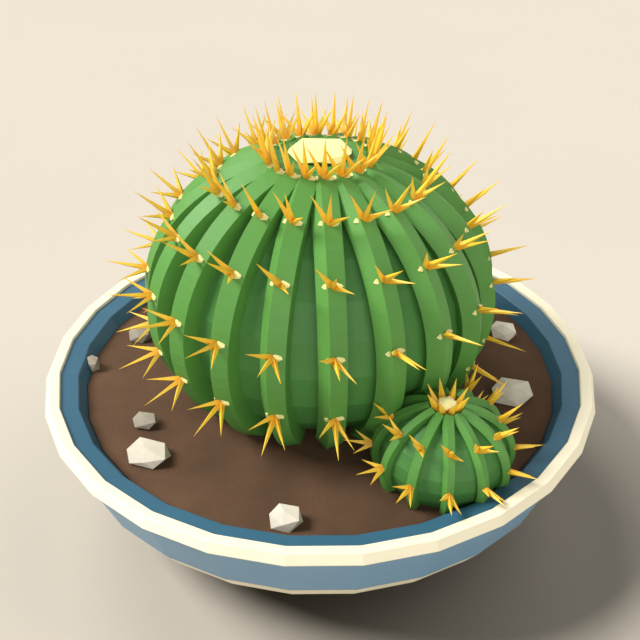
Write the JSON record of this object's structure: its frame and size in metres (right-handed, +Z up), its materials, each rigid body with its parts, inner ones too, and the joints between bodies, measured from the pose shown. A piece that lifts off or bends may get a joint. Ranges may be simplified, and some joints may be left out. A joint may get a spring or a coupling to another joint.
{
  "type": "potted round cactus",
  "caption": "Faceted ribbed globe cactus with golden spines and a small pup beside it, planted in soil with pale stones in a wide shallow glazed bowl.",
  "frame": {"origin": "bottom centre of the bowl's foot, on the surface that it stands on", "axes": "+Z up; the front, where the small cactus stands to the right of the large one, faces -Y; +X to the right seen from the front"},
  "size_m": [0.318, 0.318, 0.2292],
  "materials": {
    "glaze": "satin blue glaze",
    "glaze_cream": "satin cream glaze",
    "soil": "matte",
    "flesh": "matte green skin",
    "spine": "satin golden yellow",
    "wool": "matte cream felt",
    "stone": "matte"
  },
  "bodies": {
    "root": {"bowl": "glaze", "soil": "soil", "cactus": "flesh", "cactus_wool": "wool", "small_cactus": "flesh", "small_cactus_wool": "wool", "stone_1": "stone", "stone_2": "stone", "stone_3": "stone", "stone_4": "stone", "stone_5": "stone", "stone_6": "stone", "stone_7": "stone"}
  },
  "joints": []
}
